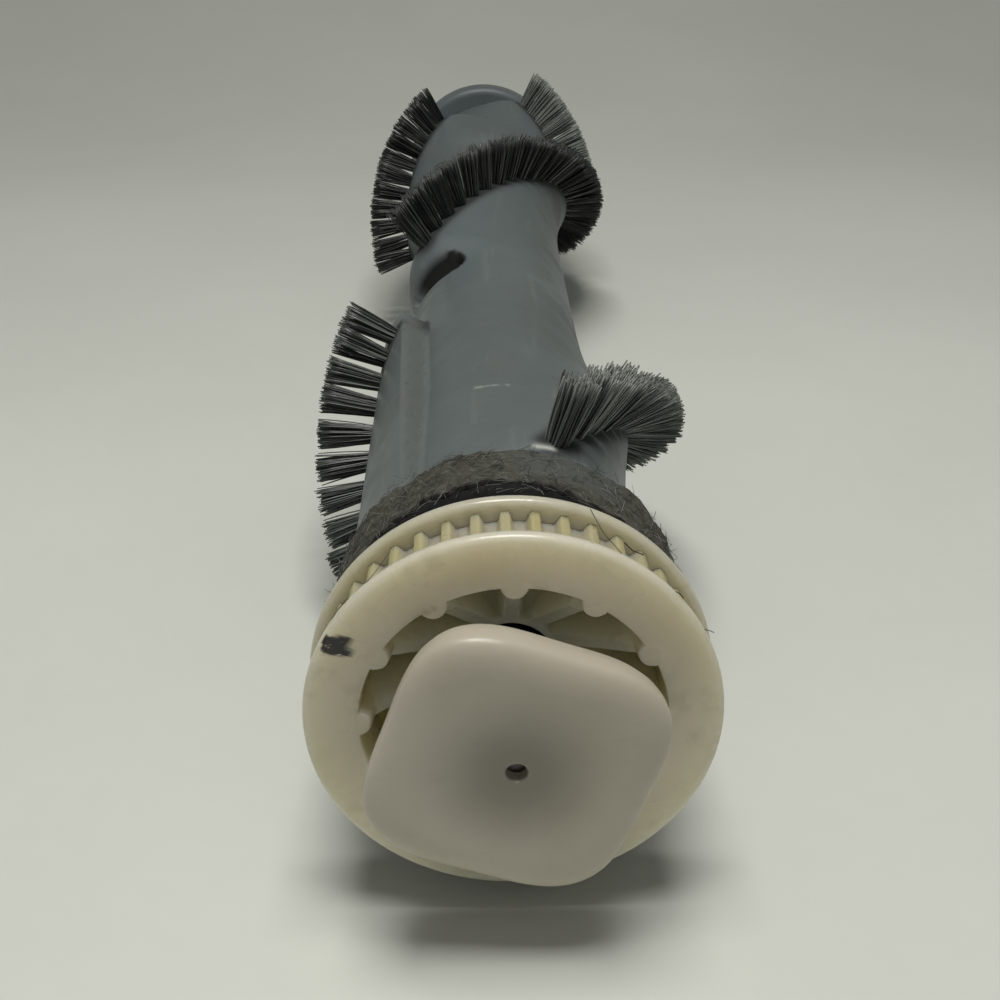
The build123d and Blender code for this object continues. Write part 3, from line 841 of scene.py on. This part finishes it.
def collar_crust():
    """Felted dirt round the collar: a thick band with a torn lip over the neck, which is painted dark
    as shade.
    """
    cols = 900
    angle = np.arange(cols) * 360.0 / cols
    lip_yp, back_yp, thick = 13.0, 25.0, 0.45
    gap_angle, bare_angle = 103.0, 71.0  # where the lip stands back, and where the collar shows
    turned_in = ((1.8, 2.4), (0.5, 1.7), (-0.1, 0.8))  # the lip's first rings, along yp and inwards
    ring = polar(20.0, angle, lip_yp).reshape(-1, 3)
    open_gap = ramp(np.abs(angle - gap_angle), 46.0, 24.0)
    lip = lip_yp + 3.4 * open_gap + 3.2 * (cloudy(ring, 4.0, 81, 4) - 0.5)
    back = back_yp + 1.0 * (cloudy(ring, 4.0, 83, 3) - 0.5)
    t = np.concatenate([np.zeros(len(turned_in)), np.linspace(0, 1, 44)])[:, None]
    yy = lip + (back - lip) * t
    rr = np.repeat(COLLAR_R + thick - 2.8 * ramp(t, 0.9, 1.0) ** 2, cols, axis=1)
    for i, (along, inwards) in enumerate(turned_in):
        yy[i] += along
        rr[i] -= inwards
    aa = np.repeat(angle[None, :], len(rr), axis=0)
    points = polar(rr, aa, yy).reshape(-1, 3)
    lump = (cloudy(points, 4.5, 87, 3) - 0.45).reshape(rr.shape)
    fine = (cloudy(points, 1.1, 91, 3) - 0.5).reshape(rr.shape)
    bare = ramp(from_nearest(aa, bare_angle, 360.0), 26.0, 10.0) * ramp(yy, 16.0, 20.0)
    rr = rr + (1 - 0.85 * bare) * (1.1 * lump + 0.7 * fine)
    # painted shade in the crust's hollows and at its lip
    hollow = ramp(fine, -0.12, -0.3) * 0.7
    painted_crust_shade = np.maximum(ramp(yy - lip, 0.7, -0.1), hollow) * (1 - bare)
    points = polar(rr, aa, yy + 0.5 * fine).reshape(-1, 3)
    points[:, 1] = np.maximum(points[:, 1], PULLEY_REAR + 0.4)
    marks = {"bare": 0.9 * bare, "painted_crust_shade": painted_crust_shade}
    piece("collar_crust", points, wrap_faces(len(rr), cols), lint_mat, "roller", marks=marks)


def neck_felt():
    """Loose felt that fills parts of the neck behind the pulley."""
    cols, rows = 420, 22
    angle = np.arange(cols) * 360.0 / cols
    turn = np.linspace(0, 2 * math.pi, rows)[:, None]
    middle_yp = 12.0
    ring = polar(18.0, angle, middle_yp).reshape(-1, 3)
    size = np.clip(2.6 * (cloudy(ring, 6.0, 95, 3) - 0.42), 0.05, 1.0)
    rr = SPIGOT_R - 0.2 + 1.3 * np.cos(turn) * size
    yy = middle_yp + 1.5 * np.sin(turn) * size
    aa = np.repeat(angle[None, :], rows, axis=0)
    points = polar(rr, aa, yy).reshape(-1, 3)
    rough = (cloudy(points, 0.9, 97, 3) - 0.5).reshape(rr.shape)
    points = polar(rr + 0.7 * rough, aa, yy + 0.5 * rough).reshape(-1, 3)
    points[:, 1] = np.maximum(points[:, 1], PULLEY_REAR + 0.2)
    piece("neck_felt", points, wrap_faces(rows, cols), lint_mat, "roller")


def fibres():
    """Short loose fibres felted into the crust, lying along it or standing out a little."""
    count = 1500
    a = rng.uniform(-60, 240, count)
    y = rng.uniform(13.5, 24.6, count)
    start = polar(COLLAR_R + rng.uniform(0.3, 0.75, count), a, y).reshape(-1, 3)
    out = polar(1.0, a, 0.0).reshape(-1, 3)
    axial = np.array([0.0, 1.0, 0.0])
    along = np.cross(out, axial)
    mixture = rng.normal(0, 1, (count, 2))
    lift = rng.uniform(0.0, 0.4, (count, 1))
    way = along * mixture[:, :1] + axial * 0.7 * mixture[:, 1:] + out * lift
    way /= np.linalg.norm(way, axis=1)[:, None]
    length = rng.uniform(0.7, 2.4, count)
    bend = out * rng.uniform(-0.5, 0.1, (count, 1)) + axial * rng.normal(0, 0.4, (count, 1))
    tone = rng.random(count) ** 1.5
    fibre_r = 0.028
    filaments("collar_fibres", start, way, length, bend, fibre_r, tone, steps=5, floor=False)


def strand(name, path, radius, mat):
    """One loose hair through points given as (radius, angle, yp)."""
    knots = np.array([polar(r, a, y) for r, a, y in path])
    t = np.linspace(0, len(knots) - 1, 8 * len(knots))
    line = np.stack([np.interp(t, np.arange(len(knots)), knots[:, k]) for k in range(3)], axis=1)
    for _ in range(4):
        line[1:-1] = (line[:-2] + 2 * line[1:-1] + line[2:]) / 4
    run = np.gradient(line, axis=0)
    run /= np.linalg.norm(run, axis=1)[:, None]
    side = np.cross(run, np.array([0.2, 0.5, 0.84]))
    side /= np.linalg.norm(side, axis=1)[:, None]
    other = np.cross(run, side)
    rings = []
    for turn in np.arange(4) * math.pi / 2:
        rings.append(line + radius * (side * math.cos(turn) + other * math.sin(turn)))
    points = np.stack(rings, axis=1).reshape(-1, 3)
    piece(name, points, wrap_faces(len(line), 4), mat, "roller")


def hairs():
    """Loose hairs caught on the pulley's teeth and flange."""
    dark = hair_material("hair_dark", (0.02, 0.015, 0.01))
    brown = hair_material("hair_brown", (0.09, 0.06, 0.03))
    strand("hair_1", [(22.56, 68.7, 8.6), (21.7, 64.5, 6.0), (22.6, 61.6, 1.0)], 0.05, dark)
    strand("hair_2", [(21.5, 57.0, 6.6), (21.35, 54.0, 6.2), (21.45, 50.0, 6.8)], 0.06, dark)
    strand("hair_3", [(21.45, 127.0, 6.8), (21.6, 130.5, 4.5), (22.55, 131.5, 1.0)], 0.04, brown)
    strand("hair_4", [(22.56, 146.0, 0.9), (22.7, 142.5, 0.7), (22.56, 139.0, 1.3)], 0.04, brown)
    curl = [(22.56, 43.3, 0.8), (22.75, 42.2, 0.6), (22.58, 41.4, 1.2)]
    curl += [(22.8, 40.9, 0.5), (22.56, 40.2, 0.9)]
    strand("hair_5", curl, 0.05, dark)
    strand("hair_6", [(22.55, 29.5, 0.4), (22.9, 28.3, 0.6), (23.2, 26.5, 1.0)], 0.04, dark)


def floor():
    """Pale table top that curves up far behind the roller."""
    reach, curve_y, curve_r = 6.0, 0.22, 0.5
    profile = [(-reach, 0.0)] + [(y, 0.0) for y in np.linspace(-0.6, curve_y, 12)]
    for t in np.linspace(0.08, 1.45, 18):
        profile.append((curve_y + curve_r * math.sin(t), curve_r * (1 - math.cos(t))))
    profile += [(0.73, 1.6)]
    verts = [(x, y, z) for y, z in profile for x in (-reach, reach)]
    faces = [(2 * i, 2 * i + 1, 2 * i + 3, 2 * i + 2) for i in range(len(profile) - 1)]
    mesh = bpy.data.meshes.new("floor")
    mesh.from_pydata(verts, [], faces)
    mesh.polygons.foreach_set("use_smooth", [True] * len(faces))
    s = Shader("floor")
    grain = s.noise(300.0, 3.0)
    cloud = s.noise(9.0, 3.0)
    color = s.mix(s.span(cloud, 0.3, 0.7), linear(212, 215, 206), linear(207, 210, 201))
    s.set(
        Base_Color=color,
        Roughness=s.span(grain, 0.3, 0.7, 0.5, 0.6),
        Normal=s.bump(grain, 0.00005, 0.2),
    )
    mesh.materials.append(s.mat)
    obj = bpy.data.objects.new("floor", mesh)
    bpy.context.scene.collection.objects.link(obj)


def area_light(name, place, target, size, power, color):
    """A rectangular lamp at place that looks at target."""
    lamp = bpy.data.lights.new(name, "AREA")
    lamp.shape = "RECTANGLE"
    lamp.size, lamp.size_y = size
    lamp.energy = power
    lamp.color = color
    obj = bpy.data.objects.new(name, lamp)
    obj.location = place
    obj.rotation_euler = (Vector(target) - Vector(place)).to_track_quat("-Z", "Y").to_euler()
    bpy.context.scene.collection.objects.link(obj)


def studio():
    """Even grey surroundings, a key light above the drive end and a weak fill in front."""
    scene = bpy.context.scene
    scene.view_settings.view_transform = "Standard"
    world_shade = bpy.data.worlds.new("studio")
    world_shade.use_nodes = True
    back = world_shade.node_tree.nodes["Background"]
    back.inputs["Color"].default_value = (0.95, 0.97, 1.0, 1.0)
    back.inputs["Strength"].default_value = 0.16
    scene.world = world_shade
    area_light("key", (-0.01, -0.15, 0.58), (-0.01, -0.12, 0.02), (0.24, 0.24), 2.75, (1.0, 0.98, 0.95))
    area_light("fill", (0.1, -0.75, 0.45), (0.0, -0.1, 0.02), (0.6, 0.5), 0.2, (1.0, 0.98, 0.96))


def camera():
    """The photo's view, fitted to the pulley's flanges and the collar's rims."""
    cam = bpy.data.cameras.new("camera")
    cam.sensor_width = 36.0
    cam.lens = 48.42
    cam.clip_start = 0.005
    obj = bpy.data.objects.new("camera", cam)
    obj.location = (-0.00385, -0.23265, 0.10314)
    yaw, pitch = math.radians(1.31), math.radians(26.83)
    level = math.cos(pitch)
    look = Vector((math.sin(yaw) * level, math.cos(yaw) * level, -math.sin(pitch)))
    obj.rotation_euler = look.to_track_quat("-Z", "Y").to_euler()
    bpy.context.scene.collection.objects.link(obj)
    bpy.context.scene.camera = obj


dress_cad_nodes()
pulley()
rear_flange()
end_block("drive", -19.8, 0.0, 1)
end_block("far", 0.0, FAR_FRONT, -1)
roller_body()
tufts()
collar_crust()
neck_felt()
fibres()
hairs()
floor()
studio()
camera()
